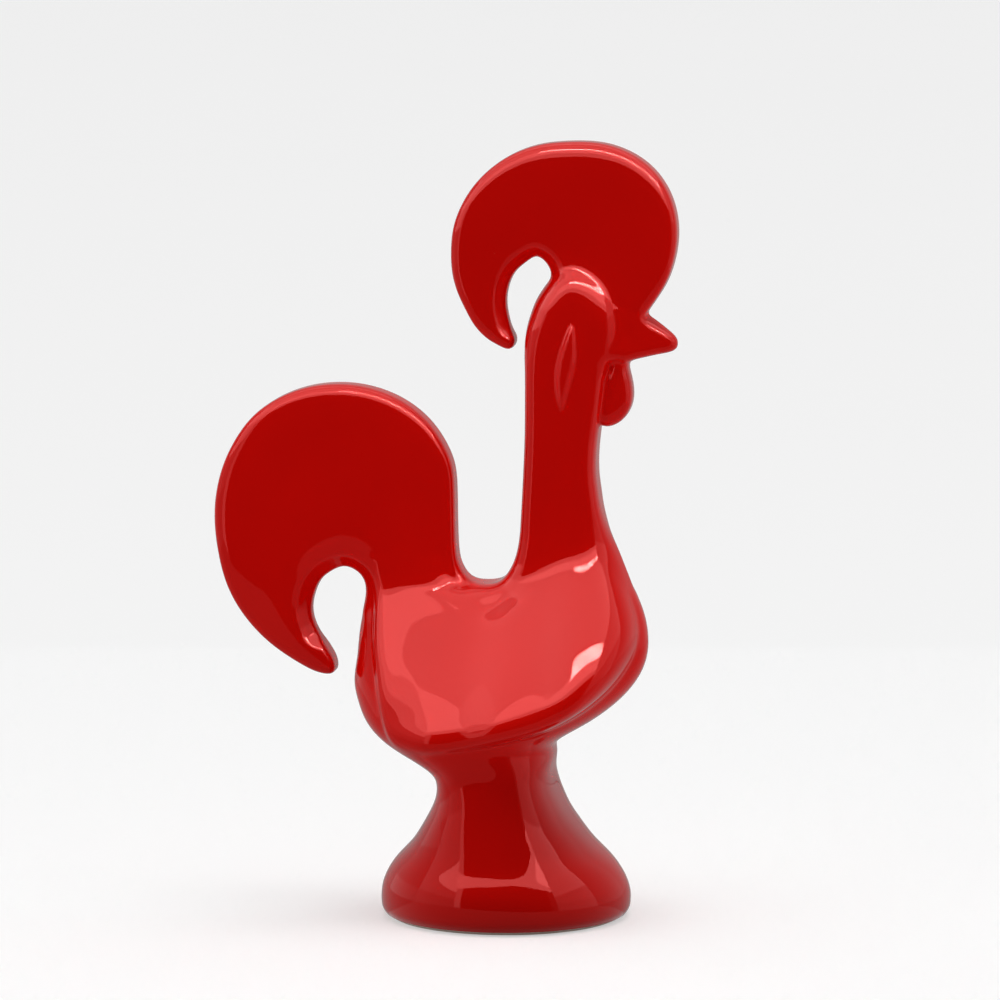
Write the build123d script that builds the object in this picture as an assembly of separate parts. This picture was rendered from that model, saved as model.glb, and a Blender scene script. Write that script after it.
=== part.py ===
from build123d import *
import math
import os

# Rooster ornament in glazed ceramic, about 200 mm tall, standing on a round trumpet foot.
# +X is toward the beak, +Y is the bird's left side, +Z is up. All lengths are in millimetres.
# The shape is laid out about the centre of the foot, and everything is then moved along X so that
# the origin is the middle of the whole bounding box, on the plane that the foot stands on.

# ------------------------------------------------------------------ driving dimensions
COMB_THICK = 12.0        # comb plate, side to side
TAIL_THICK = 12.6        # tail plate, side to side
WATTLE_THICK = 11.0      # wattle plate, side to side
PLATE_ROUND = 2.0        # rounding of the plates' rims
WALL = 4.0               # ceramic wall of the hollow pieces
FOOT_RING_OUT = 29.7     # outer radius of the bare clay ring where it meets the table
FOOT_RING_IN = 26.0      # inner radius of that ring
FOOT_RING_H = 1.0        # its height
FLOOR_LOW = 2.6          # underside of the closed floor inside the ring
FLOOR_THICK = 3.6
VENT_R = 2.0             # firing vent in the middle of the floor
BASE_X = -0.4            # centre of the round foot
WAIST_Z = 35.0           # joint between the pedestal and the body
NECK_Z = 88.0            # joint between the body and the neck
HEAD_Z = 148.0           # joint between the neck and the head
SADDLE_Z = 87.6          # lowest line of the back between tail and neck

# pedestal and body sections: height, centre x, half length along x, half width along y, roundness exponent
PEDESTAL = [
    (1.0, BASE_X, 31.2, 31.2, 2.0),
    (2.0, BASE_X, 31.9, 31.9, 2.0),
    (3.6, BASE_X, 32.3, 32.3, 2.0),
    (6.0, BASE_X, 32.3, 32.3, 2.0),
    (8.5, -0.5, 31.8, 31.8, 2.0),
    (11.5, -0.65, 30.45, 30.65, 2.02),
    (15.0, -0.85, 27.9, 29.15, 2.1),
    (19.0, -1.2, 23.85, 27.9, 2.25),
    (23.0, -1.6, 20.68, 26.75, 2.45),
    (27.0, -1.98, 18.0, 25.65, 2.65),
    (31.0, -2.12, 15.97, 24.75, 2.85),
    (35.0, -2.55, 14.85, 24.1, 3.0),
]
BODY = [
    (35.0, -2.55, 14.85, 24.1, 3.0),
    (38.5, -3.55, 15.4, 23.85, 2.9),
    (42.4, -6.5, 18.8, 24.2, 2.6),
    (45.6, -9.15, 21.95, 24.7, 2.4),
    (50.1, -8.3, 27.86, 24.5, 2.25),
    (55.3, -5.75, 32.95, 22.8, 2.2),
    (60.5, -3.75, 36.1, 20.4, 2.2),
    (67.0, -1.7, 37.5, 17.4, 2.25),
    (73.6, -1.05, 37.5, 14.4, 2.3),
    (80.0, -1.0, 36.2, 11.2, 2.5),
    (84.1, -1.3, 34.8, 9.0, 2.8),
    (88.0, -2.2, 33.3, 6.6, 3.2),
]
NECK = [
    (88.0, 14.6, 17.4, 9.6, 2.6),
    (91.4, 15.9, 14.5, 9.2, 2.8),
    (95.4, 15.7, 13.2, 8.9, 2.9),
    (99.3, 15.2, 12.3, 8.7, 3.0),
    (104.0, 14.6, 11.4, 8.5, 3.0),
    (111.0, 14.0, 10.4, 8.3, 3.0),
    (119.0, 13.9, 9.9, 8.2, 3.0),
    (129.0, 14.4, 9.8, 8.2, 3.0),
    (139.0, 15.2, 10.5, 8.3, 2.9),
    (148.0, 16.3, 11.6, 8.7, 2.6),
]
HEAD = [
    (148.0, 16.3, 11.6, 8.7, 2.6),
    (153.0, 17.0, 12.0, 8.9, 2.5),
    (157.5, 17.7, 11.4, 8.7, 2.4),
    (161.5, 18.1, 10.0, 8.1, 2.25),
    (165.0, 18.3, 7.9, 7.0, 2.1),
    (167.6, 18.3, 5.5, 5.2, 2.0),
    (169.3, 18.5, 2.6, 2.4, 2.0),
]

# side outlines of the flat members, x and z
COMB_LINE = [
    (12.0, 167.5), (10.0, 170.5), (7.9, 171.6), (5.1, 170.3), (1.9, 167.4), (0.3, 164.0), (-0.3, 159.7),
    (0.2, 156.0), (1.3, 152.3), (2.1, 149.6), (1.2, 147.9), (-1.7, 148.5), (-4.7, 150.2), (-8.3, 153.8),
    (-10.6, 157.8), (-12.9, 162.9), (-14.1, 168.0), (-14.3, 173.2), (-13.8, 178.3), (-12.1, 183.5),
    (-9.1, 188.7), (-4.6, 193.6), (0.9, 197.4), (8.0, 200.1), (16.0, 201.15), (24.1, 200.7), (31.3, 198.5),
    (37.2, 194.4), (41.3, 188.8), (43.4, 183.0), (43.9, 177.2), (43.0, 170.8), (41.0, 165.2), (38.6, 161.2),
    (35.0, 157.6),
]
COMB_ROOT = [(28.0, 156.0), (18.0, 158.0), (13.5, 163.5)]
TAIL_LINE = [
    (-36.2, 83.5), (-37.5, 87.6), (-39.8, 89.8), (-42.6, 90.6), (-45.6, 89.5), (-48.8, 86.9), (-50.9, 83.3),
    (-51.6, 79.6), (-50.9, 75.6), (-49.2, 72.0), (-46.9, 68.4), (-45.3, 65.2), (-45.6, 63.2), (-48.1, 63.1),
    (-52.5, 64.6), (-57.6, 67.4), (-62.7, 71.2), (-67.5, 76.2), (-71.1, 81.5), (-73.5, 87.0), (-75.1, 93.5),
    (-76.0, 100.5), (-75.9, 107.0), (-74.9, 112.7), (-73.2, 117.9), (-70.5, 123.2), (-66.7, 128.4),
    (-61.0, 133.0), (-53.4, 136.4), (-44.4, 137.8), (-35.2, 136.8), (-27.2, 133.4), (-20.8, 128.3),
    (-16.8, 123.0), (-14.5, 117.8), (-13.4, 112.4), (-13.2, 106.0), (-13.2, 97.3), (-12.3, 92.6),
    (-10.2, 89.4), (-7.6, 86.4),
]
TAIL_ROOT = [(-9.0, 82.0), (-20.0, 78.0), (-33.0, 77.0)]
WATTLE_LINE = [
    (28.2, 147.6), (26.9, 144.7), (25.2, 141.2), (23.9, 137.1), (23.3, 133.1), (23.6, 130.0), (25.1, 128.2),
    (27.4, 128.3), (29.8, 129.7), (31.6, 132.1), (32.5, 135.0), (32.5, 138.0), (31.9, 141.2), (30.9, 144.4),
]
WING_LINE = [
    (-33.6, 88.0), (-33.8, 80.0), (-33.6, 70.0), (-32.3, 60.7), (-30.0, 52.0), (-27.1, 47.5), (-22.6, 45.3),
    (-14.9, 45.0), (-2.0, 47.2), (7.9, 49.8), (20.0, 54.8), (27.5, 60.6), (32.3, 66.8), (34.6, 73.7),
    (34.2, 79.7), (32.7, 85.2), (30.4, 91.0), (27.0, 96.4),
]
WING_TOP = [(20.0, 99.0), (4.0, 91.0), (-5.0, 87.4), (-13.0, 91.0), (-26.0, 92.0)]

# outer face of each wing: half width of the bird over a grid of x and z
WING_X = [-38.0, -28.0, -18.0, -8.0, 2.0, 12.0, 21.0, 29.0, 37.0]
WING_Z = [42.0, 50.0, 58.0, 66.0, 74.0, 82.0, 90.0, 98.0]
WING_Y = [
    [20.2, 22.4, 26.8, 28.5, 30.1, 31.4, 30.8, 24.9, 14.5],
    [19.2, 21.6, 25.5, 27.4, 29.3, 30.8, 30.4, 24.6, 14.2],
    [16.1, 18.8, 21.9, 24.0, 26.4, 28.9, 29.5, 24.1, 13.8],
    [12.1, 14.8, 17.4, 19.5, 22.1, 25.0, 26.5, 22.9, 13.4],
    [9.5, 11.5, 13.4, 14.9, 17.3, 20.3, 22.1, 19.5, 12.4],
    [8.1, 9.0, 9.8, 10.4, 12.5, 15.5, 17.1, 15.0, 9.3],
    [6.8, 7.0, 7.1, 7.1, 8.5, 10.9, 12.2, 10.0, 4.8],
    [5.9, 6.0, 6.0, 6.1, 7.1, 8.4, 8.8, 6.2, 1.6],
]

# beak: axis points, half height and half width of each section
BEAK = [
    ((26.0, 152.4), 7.0, 5.6, 2.5),
    ((30.5, 152.0), 6.7, 5.3, 2.5),
    ((35.5, 151.5), 5.5, 4.5, 2.4),
    ((40.0, 150.6), 3.7, 3.3, 2.2),
    ((43.0, 149.8), 2.0, 2.0, 2.0),
    ((44.2, 149.2), 0.5, 0.5, 2.0),
]

# leaf-shaped ear lobe in low relief on each side of the head, x and z
LOBE_LINE = [
    (18.0, 155.0), (19.2, 150.0), (18.8, 144.0), (17.3, 138.4), (15.0, 133.0), (13.3, 138.0), (13.4, 144.0),
    (15.0, 150.0),
]
LOBE_PROUD = 1.2


# ------------------------------------------------------------------ helpers
def section(z, xc, a, b, n, count=28):
    """Closed superellipse face in a horizontal plane."""
    pts = []
    for i in range(count):
        t = 2 * math.pi * i / count
        c, s = math.cos(t), math.sin(t)
        k = (abs(c) ** n + abs(s) ** n) ** (-1 / n)
        pts.append((xc + a * c * k, b * s * k, z))
    return make_face(Spline(*pts, periodic=True))


def column(rows, inset=0.0, low=None, high=None):
    """Smooth closed solid through the rows' sections, each drawn in by the inset."""
    faces = []
    for z, xc, a, b, n in rows:
        if low is not None and z < low or high is not None and z > high:
            continue
        faces.append(section(z, xc, a - inset, b - inset, n))
    return loft(faces)


def plate(line, root, thick, rounding):
    """Flat member of the given thickness across the bird, with rounded rims.
    Its outline is a smooth line that closes through the root, which lies inside its neighbour."""
    pts = [(x, 0, z) for x, z in line]
    edge = Spline(*pts)
    tail = Polyline(*[pts[-1], *[(x, 0, z) for x, z in root], pts[0]])
    face = Pos(0, -thick / 2, 0) * make_face([edge, *tail.edges()])
    solid = extrude(face, amount=thick, dir=(0, 1, 0))
    rims = [e for e in solid.edges() if e.length > 60]
    for r in (rounding, rounding * 0.6, rounding * 0.4):
        try:
            return fillet(rims, radius=r)
        except Exception:
            continue
    return solid


def one(shape):
    """The shape's solids as one list, slivers left out."""
    keep = [s for s in shape.solids() if s.volume > 1.0]
    return keep[0] if len(keep) == 1 else Compound(children=keep)


# ------------------------------------------------------------------ outer forms
pedestal_form = column(PEDESTAL)
body_form = column(BODY)
neck_form = column(NECK)
head_form = column(HEAD)

comb_form = plate(COMB_LINE, COMB_ROOT, COMB_THICK, PLATE_ROUND)
tail_form = plate(TAIL_LINE, TAIL_ROOT, TAIL_THICK, PLATE_ROUND)

wattle_face = Pos(0, -WATTLE_THICK / 2, 0) * make_face(Spline(*[(x, 0, z) for x, z in WATTLE_LINE], periodic=True))
wattle_form = extrude(wattle_face, amount=WATTLE_THICK, dir=(0, 1, 0))
wattle_rims = [e for e in wattle_form.edges() if e.length > 20]
for r in (PLATE_ROUND, PLATE_ROUND * 0.6, PLATE_ROUND * 0.4):
    try:
        wattle_form = fillet(wattle_rims, radius=r)
        break
    except Exception:
        continue

beak_faces = []
for (bx, bz), bh, bw, bn in BEAK:
    pts = []
    for i in range(20):
        t = 2 * math.pi * i / 20
        c, s = math.cos(t), math.sin(t)
        k = (abs(c) ** bn + abs(s) ** bn) ** (-1 / bn)
        pts.append((bx, bw * c * k, bz + bh * s * k))
    beak_faces.append(make_face(Spline(*pts, periodic=True)))
beak_form = loft(beak_faces)

# ------------------------------------------------------------------ hollows
body_hollow = column(BODY, WALL, high=84.0)
# it starts below the top of the floor and narrower than the ring, so a small ledge rests on the floor
pedestal_hollow = column(
    [(4.8, BASE_X, 26.0, 26.0, 2.0), (8.0, -0.5, 30.4, 30.4, 2.0), (11.5, -0.6, 30.3, 30.3, 2.0)]
    + [row for row in PEDESTAL if row[0] >= 15.0],
    WALL,
)
foot_bore = Pos(BASE_X, 0, (FLOOR_LOW + FLOOR_THICK) / 2) * Cylinder(FOOT_RING_IN, FLOOR_LOW + FLOOR_THICK)
neck_hollow = column(
    [(80.0, 12.5, 10.0, 8.2, 2.2), *[(z, x, a, b, 2.2) for z, x, a, b, n in NECK if 91 < z < 147], (148.0, 15.9, 11.0, 8.3, 2.2)],
    WALL,
)
head_hollow = column([(148.0, 15.9, 11.0, 8.3, 2.2), (153.0, 16.4, 10.6, 8.2, 2.2), (158.0, 17.2, 9.0, 7.4, 2.1), (162.0, 17.8, 5.5, 5.2, 2.0)], WALL)

# ------------------------------------------------------------------ pieces
pieces = {}

ring_form = Pos(BASE_X, 0, FOOT_RING_H / 2) * Cone(FOOT_RING_OUT, 31.2, FOOT_RING_H)
pieces["foot_ring"] = ring_form - foot_bore
pieces["pedestal"] = pedestal_form - foot_bore - pedestal_hollow
floor_disc = Pos(BASE_X, 0, FLOOR_LOW + FLOOR_THICK / 2) * Cylinder(FOOT_RING_IN, FLOOR_THICK)
pieces["base_floor"] = floor_disc - Pos(BASE_X, 0, FLOOR_LOW + FLOOR_THICK / 2) * Cylinder(VENT_R, FLOOR_THICK + 2)

pieces["body_shell"] = body_form - body_hollow - neck_hollow
pieces["neck"] = neck_form - body_form - neck_hollow
pieces["head"] = head_form - head_hollow
pieces["tail"] = tail_form - body_form - neck_form
pieces["beak"] = beak_form - head_form - neck_form
pieces["comb"] = comb_form - head_form - neck_form - beak_form
pieces["wattle"] = wattle_form - neck_form - head_form - beak_form

# wings: the side outline drawn out sideways and cut by the modelled outer face
wing_pts = [(x, 0, z) for x, z in WING_LINE]
wing_edge = Spline(*wing_pts)
wing_rest = Polyline(*[wing_pts[-1], *[(x, 0, z) for x, z in WING_TOP], wing_pts[0]])
wing_block = extrude(make_face([wing_edge, *wing_rest.edges()]), amount=34.0, dir=(0, 1, 0))
skin = Face.make_surface_from_array_of_points(
    [[Vector(x, WING_Y[j][i], z) for j, z in enumerate(WING_Z)] for i, x in enumerate(WING_X)]
)
inside_skin = extrude(skin, amount=40.0, dir=(0, -1, 0))
wing_form = (wing_block & inside_skin).solids()[0]
lip = [e for e in wing_form.edges() if e.center().Y > 9 and e.length > 60]
for r in (2.2, 1.6, 1.0):
    try:
        wing_form = fillet(lip, radius=r).solids()[0]
        break
    except Exception:
        continue
right_form = mirror(wing_form, about=Plane.XZ)
wing = right_form - body_form - tail_form - neck_form
pieces["right_wing"] = max(wing.solids(), key=lambda s: s.volume)
pieces["left_wing"] = mirror(pieces["right_wing"], about=Plane.XZ)

# ear lobes: a low leaf laid on the side of the head and neck
lobe_face = make_face(Spline(*[(x, 0, z) for x, z in LOBE_LINE], periodic=True))
lobe_block = extrude(lobe_face, amount=20.0, dir=(0, 1, 0))
grown_neck = column([(z, x, a, b + LOBE_PROUD, n) for z, x, a, b, n in NECK if z > 118])
grown_head = column([(z, x, a, b + LOBE_PROUD, n) for z, x, a, b, n in HEAD if z < 166])
leaf = lobe_block & (grown_neck + grown_head)
for name, form in (("left_ear_lobe", leaf), ("right_ear_lobe", mirror(leaf, about=Plane.XZ))):
    lobe = form - neck_form - head_form
    pieces[name] = max(lobe.solids(), key=lambda s: s.volume)

# ------------------------------------------------------------------ move the origin, write the files
lows = min(p.bounding_box().min.X for p in pieces.values())
highs = max(p.bounding_box().max.X for p in pieces.values())
SHIFT = -(lows + highs) / 2
print("shift along x", round(SHIFT, 3), "length", round(highs - lows, 2))

os.makedirs("parts", exist_ok=True)
for name, shape in pieces.items():
    solid = one(Pos(SHIFT, 0, 0) * shape)
    export_step(solid, f"parts/{name}.step")
    bb = solid.bounding_box()
    print(name, round(solid.volume), "mm3", [round(v, 1) for v in (bb.min.X, bb.min.Y, bb.min.Z, bb.max.X, bb.max.Y, bb.max.Z)])
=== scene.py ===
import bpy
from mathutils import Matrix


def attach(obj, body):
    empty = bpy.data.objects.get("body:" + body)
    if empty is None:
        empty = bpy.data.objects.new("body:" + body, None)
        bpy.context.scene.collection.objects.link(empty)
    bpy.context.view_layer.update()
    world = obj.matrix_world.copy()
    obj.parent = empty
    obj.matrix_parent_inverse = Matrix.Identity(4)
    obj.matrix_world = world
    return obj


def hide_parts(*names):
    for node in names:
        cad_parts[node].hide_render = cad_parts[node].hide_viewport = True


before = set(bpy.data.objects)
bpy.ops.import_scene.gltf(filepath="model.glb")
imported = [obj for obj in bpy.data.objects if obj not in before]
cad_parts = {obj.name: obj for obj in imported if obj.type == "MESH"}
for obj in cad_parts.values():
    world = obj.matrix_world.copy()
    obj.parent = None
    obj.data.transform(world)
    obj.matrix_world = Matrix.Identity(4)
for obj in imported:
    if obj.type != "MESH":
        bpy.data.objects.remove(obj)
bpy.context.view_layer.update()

import math

import bpy
import numpy as np
from mathutils import Vector

# Glazed rooster ornament: one skin worked out from the members' side outlines and sections, in millimetres about the
# centre of the foot, then cut along the members' seams into one closed piece for each.

# ---------------------------------------------------------------- finish and light
GRID = 0.7                     # spacing of the skin's mesh, mm
GLAZE_OPEN = (0.74, 0.0030, 0.0012, 1)
# painted shade: the darker glaze colour used in creases and hollows, picked out by ambient occlusion
GLAZE_PAINTED_SHADE = (0.52, 0.0012, 0.0006, 1)
GLAZE_TINT = (1.0, 0.20, 0.19, 1)
# floor: matt tone, a painted glow (emission), and a painted falloff of light that darkens tone and glow away from the
# foot
FLOOR_TONE, FLOOR_PAINTED_GLOW, FLOOR_PAINTED_FALLOFF = 0.50, 0.465, 0.0195
SHADE = 0.10                   # level of the floor round the foot
RIG_TURN = 8.0                 # the tent stands square to the camera, degrees
# light on matt surfaces: lowest and highest elevation of a band, then its level in front, right, back and left
TENT = [
    (-90, -60, (1.20, 1.20, 1.20, 1.20)),
    (-60, -35, (0.05, 0.05, 0.05, 0.05)),
    (-35, -15, (1.60, 2.60, 0.10, 1.20)),
    (-15, 0, (0.10, 0.10, 0.10, 0.25)),
    (0, 12, (0.75, 2.10, 0.10, 3.30)),
    (12, 30, (0.05, 0.60, 0.10, 0.80)),
    (30, 50, (0.10, 0.10, 0.20, 0.10)),
    (50, 70, (0.15, 2.00, 0.90, 0.20)),
    (70, 90, (6.20, 6.20, 6.20, 6.20)),
]
# sides of the tent that the glaze mirrors: corners in metres about the foot, and level
D, W, H, B, O = -0.38, 0.42, 0.46, 0.45, 0.34
CARDS = {
    "tent_floor_front": ([(-W, D, -0.002), (W, D, -0.002), (W, 0, -0.002), (-W, 0, -0.002)], 0.60),
    "tent_floor_back": ([(-W, 0, -0.002), (W, 0, -0.002), (W, B, -0.002), (-W, B, -0.002)], 0.37),
    "tent_back_low": ([(-W, B, 0), (W, B, 0), (W, B, 0.2), (-W, B, 0.2)], 0.4),
    "tent_back_high": ([(-W, B, 0.2), (W, B, 0.2), (W, B, H), (-W, B, H)], 0.4),
    "tent_top_front": ([(-W, D, H), (W, D, H), (W, -0.12, H), (-W, -0.12, H)], 5.9),
    "tent_top_middle": ([(-W, -0.12, H), (W, -0.12, H), (W, 0.15, H), (-W, 0.15, H)], 3.2),
    "tent_top_back": ([(-W, 0.15, H), (W, 0.15, H), (W, B, H), (-W, B, H)], 0.6),
    "tent_opening": ([(-O, D, 0), (O, D, 0), (O, D, 0.26), (-O, D, 0.26)], 0.08),
    "tent_apron_low": ([(-W, D, 0.26), (W, D, 0.26), (W, D, 0.32), (-W, D, 0.32)], 5.2),
    "tent_apron_high": ([(-W, D, 0.32), (W, D, 0.32), (W, D, H), (-W, D, H)], 9.0),
    "tent_frame_left": ([(-W, D, 0), (-O, D, 0), (-O, D, 0.26), (-W, D, 0.26)], 2.4),
    "tent_frame_right": ([(O, D, 0), (W, D, 0), (W, D, 0.26), (O, D, 0.26)], 0.3),
}
for side, x, front, back in (("left", -W, (0.9, 1.3, 4.5, 6.5), (0.7, 0.5, 0.3, 0.4)), ("right", W, (1.1, 1.3, 2.4, 2.5), (0.5, 0.5, 0.5, 0.5))):
    for k, (z0, z1) in enumerate([(0, 0.1), (0.1, 0.2), (0.2, 0.3), (0.3, H)]):
        CARDS["tent_%s_front_%d" % (side, k)] = ([(x, D, z0), (x, 0, z0), (x, 0, z1), (x, D, z1)], front[k])
        CARDS["tent_%s_back_%d" % (side, k)] = ([(x, 0, z0), (x, B, z0), (x, B, z1), (x, 0, z1)], back[k])
LED_ROW = [(-0.165, D + 0.01, 0.418), (0.60, D + 0.01, 0.418), (0.60, D + 0.04, 0.458), (-0.165, D + 0.04, 0.458)]
LED_L, LED_GAP, LED_PITCH = 300.0, 16.0, 260.0

# ---------------------------------------------------------------- lines and tables (millimetres, about the centre of the foot)
SHIFT = 15.942
SPINE = [
    # rear of the body, hook notch and hook
    (-36.6, 79.0), (-36.3, 83.0), (-37.2, 87.2), (-39.7, 89.8), (-42.6, 90.6), (-45.6, 89.5), (-48.8, 86.9),
    (-50.5, 83.3), (-51.2, 79.6), (-50.5, 75.6), (-48.7, 72.0), (-46.4, 68.4), (-45.0, 65.2), (-45.2, 63.0),
    (-48.0, 62.7), (-52.5, 64.4), (-57.6, 67.4), (-62.7, 71.2), (-67.5, 76.2), (-71.1, 81.5), (-73.5, 87.0),
    (-75.1, 93.5), (-76.0, 100.5), (-75.9, 107.0), (-74.9, 112.7), (-73.2, 117.9), (-70.5, 123.2), (-66.7, 128.4),
    (-61.0, 133.0), (-53.4, 136.4), (-44.4, 137.8), (-35.2, 136.8), (-27.2, 133.4), (-20.8, 128.3),
    (-16.8, 123.0), (-14.5, 117.8), (-13.7, 112.4), (-13.5, 106.0), (-13.3, 99.0), (-12.9, 94.5), (-11.9, 91.0),
    (-9.6, 88.0), (-5.2, 86.6), (-1.8, 87.6), (0.6, 90.0), (2.3, 93.4), (3.4, 98.0),
    # back of the neck and head
    (3.9, 104.0), (4.25, 111.0), (4.6, 118.8), (4.85, 126.6), (4.9, 135.0), (4.85, 143.0), (4.75, 149.9), (5.05, 152.5),
    (5.6, 155.1), (6.4, 157.6), (7.4, 160.2), (8.9, 162.8), (10.7, 165.3), (12.8, 167.4), (15.4, 168.9),
    (18.4, 169.3), (21.4, 168.4), (24.2, 166.6), (26.6, 164.0), (28.4, 160.6), (29.3, 156.6), (29.1, 152.0),
    (27.6, 147.0), (25.9, 141.0), (25.0, 134.0), (24.1, 128.0), (23.5, 122.7), (23.3, 118.8), (23.45, 114.9),
    (23.95, 111.0), (24.6, 107.1), (25.7, 103.2), (27.1, 99.3), (28.8, 95.4), (30.3, 91.4), (31.7, 87.0), (32.2, 83.5),
]
SPINE_ROOT = [(30.0, 76.0), (10.0, 70.0), (-20.0, 68.0), (-34.0, 70.0)]
COMB_LINE = [
    (11.7, 167.4), (9.8, 170.4), (7.8, 171.6), (5.1, 170.3), (1.9, 167.4), (0.3, 164.0), (-0.3, 159.7),
    (0.2, 156.0), (1.3, 152.3), (2.1, 149.6), (1.2, 147.9), (-1.7, 148.5), (-4.7, 150.2), (-8.3, 153.8),
    (-10.6, 157.8), (-12.9, 162.9), (-14.1, 168.0), (-14.3, 173.2), (-13.8, 178.3), (-12.1, 183.5),
    (-9.1, 188.7), (-4.6, 193.6), (0.9, 197.4), (8.0, 200.1), (16.0, 201.05), (24.2, 200.75), (31.4, 198.5),
    (37.3, 194.4), (41.4, 188.8), (43.4, 183.0), (43.9, 177.2), (43.0, 170.8), (41.0, 165.2), (38.6, 161.2),
    (36.0, 157.4),
]
COMB_ROOT = [(34.0, 152.0), (22.0, 156.0), (14.0, 163.0)]
WATTLE_LINE = [
    (28.2, 148.6), (26.9, 145.2), (25.2, 141.2), (23.9, 137.1), (23.3, 133.1), (23.6, 130.0), (25.1, 128.2),
    (27.4, 128.3), (29.8, 129.7), (31.6, 132.1), (32.5, 135.0), (32.5, 138.0), (31.9, 141.2), (30.6, 145.0),
]
WING_LINE = [
    (-33.6, 93.0), (-33.9, 87.0), (-34.1, 81.1), (-33.8, 69.7), (-32.3, 60.7), (-30.0, 52.0), (-27.1, 47.3), (-22.6, 45.2),
    (-14.9, 44.9), (-2.0, 47.2), (7.9, 49.6), (20.0, 54.6), (27.3, 60.4), (32.1, 66.5), (34.5, 73.7),
    (34.0, 79.7), (32.5, 84.5), (30.6, 89.1), (28.9, 92.8), (26.2, 97.9), (22.8, 103.0),
]
# the top line stays inside the tail, the saddle between and the neck
WING_TOP = [(22.8, 103.0), (20.0, 108.0), (12.0, 110.0), (7.0, 102.0), (4.0, 92.0), (0.5, 86.6), (-2.5, 84.2), (-5.0, 83.5), (-8.2, 84.5), (-12.0, 87.2), (-17.0, 94.0), (-25.0, 97.0)]
LOBE_LINE = [
    (18.0, 155.5), (19.2, 150.0), (18.8, 144.0), (17.3, 138.4), (15.0, 132.6), (13.3, 138.0), (13.4, 144.0),
    (15.0, 150.0),
]
# z, centre x, half length, half width, roundness exponent
COLUMN = [
    (-3.0, -0.4, 28.6, 28.6, 2.0), (1.0, -0.4, 31.2, 31.2, 2.0), (2.0, -0.4, 31.9, 31.9, 2.0), (3.6, -0.4, 32.3, 32.3, 2.0),
    (6.0, -0.4, 32.3, 32.3, 2.0), (8.5, -0.5, 31.8, 32.05, 2.0), (11.5, -0.65, 30.45, 31.3, 2.02), (15.0, -0.85, 27.9, 29.85, 2.1),
    (19.0, -1.2, 23.85, 28.45, 2.25), (23.0, -1.6, 20.68, 27.2, 2.45), (27.0, -1.98, 18.0, 26.05, 2.65), (31.0, -2.12, 15.97, 25.05, 2.85),
    (35.0, -2.55, 14.85, 24.3, 3.0), (38.5, -3.55, 15.4, 23.85, 2.9), (42.4, -6.5, 18.8, 24.2, 2.6), (45.6, -9.15, 21.95, 24.7, 2.4),
    (50.1, -8.3, 27.86, 24.5, 2.25), (55.3, -5.75, 32.95, 22.8, 2.2), (60.5, -3.75, 36.1, 20.4, 2.2), (67.0, -1.7, 37.5, 17.4, 2.25),
    (73.6, -1.05, 37.5, 14.4, 2.3), (80.0, -1.0, 36.2, 11.2, 2.5), (84.1, -1.3, 34.8, 9.0, 2.8), (88.0, -2.2, 33.3, 6.6, 3.2),
    (92.0, -4.0, 31.0, 5.0, 3.2),
]
# half width of the bird at the wings' faces, over x and z
WX = [-38.0, -28.0, -18.0, -8.0, 2.0, 12.0, 21.0, 29.0, 37.0]
WZ = [40.0, 46.0, 50.0, 54.0, 58.0, 62.0, 66.0, 70.0, 74.0, 78.0, 82.0, 86.0, 90.0, 94.0, 98.0, 104.0, 112.0]


# ---------------------------------------------------------------- small numeric tools
def spline_coefs(t, v):
    """Natural cubic spline: second derivatives at the knots, for one or more value columns."""
    t = np.asarray(t, float)
    v = np.asarray(v, float)
    n = len(t)
    A = np.zeros((n, n))
    rhs = np.zeros((n,) + v.shape[1:])
    A[0, 0] = A[-1, -1] = 1.0
    h = np.diff(t)
    for i in range(1, n - 1):
        A[i, i - 1], A[i, i], A[i, i + 1] = h[i - 1] / 6, (h[i - 1] + h[i]) / 3, h[i] / 6
        rhs[i] = (v[i + 1] - v[i]) / h[i] - (v[i] - v[i - 1]) / h[i - 1]
    return np.linalg.solve(A, rhs)


def spline_eval(t, v, m, q):
    t = np.asarray(t, float)
    v = np.asarray(v, float)
    i = np.clip(np.searchsorted(t, q) - 1, 0, len(t) - 2)
    h = t[i + 1] - t[i]
    a = (t[i + 1] - q) / h
    b = 1 - a
    lo, hi = q < t[0], q > t[-1]
    ac, bc = np.clip(a, 0, 1), np.clip(b, 0, 1)
    out = a * v[i] + b * v[i + 1] + ((ac**3 - ac) * m[i] + (bc**3 - bc) * m[i + 1]) * h * h / 6
    # straight beyond the ends, with the slope of the end
    if np.any(lo):
        s = (v[1] - v[0]) / (t[1] - t[0]) - (t[1] - t[0]) * (2 * m[0] + m[1]) / 6
        out = np.where(lo, v[0] + s * (q - t[0]), out)
    if np.any(hi):
        s = (v[-1] - v[-2]) / (t[-1] - t[-2]) + (t[-1] - t[-2]) * (m[-2] + 2 * m[-1]) / 6
        out = np.where(hi, v[-1] + s * (q - t[-1]), out)
    return out


class Curve1:
    def __init__(self, t, v):
        self.t, self.v, self.m = np.asarray(t, float), np.asarray(v, float), spline_coefs(t, v)

    def __call__(self, q):
        return spline_eval(self.t, self.v, self.m, q)


def smooth_line(pts, closed, step=0.12):
    """Dense points on a smooth line through the given ones, chord-length spaced."""
    p = np.array(pts, float)
    if closed:
        p = np.vstack([p[-3:], p, p[:4]])
    s = np.r_[0, np.cumsum(np.hypot(*np.diff(p, axis=0).T))]
    m = spline_coefs(s, p)
    a, b = (s[3], s[-4]) if closed else (s[0], s[-1])
    q = np.linspace(a, b, int((b - a) / step) + 1)
    return np.stack([spline_eval(s, p[:, k], m[:, k], q) for k in (0, 1)], -1)


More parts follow.
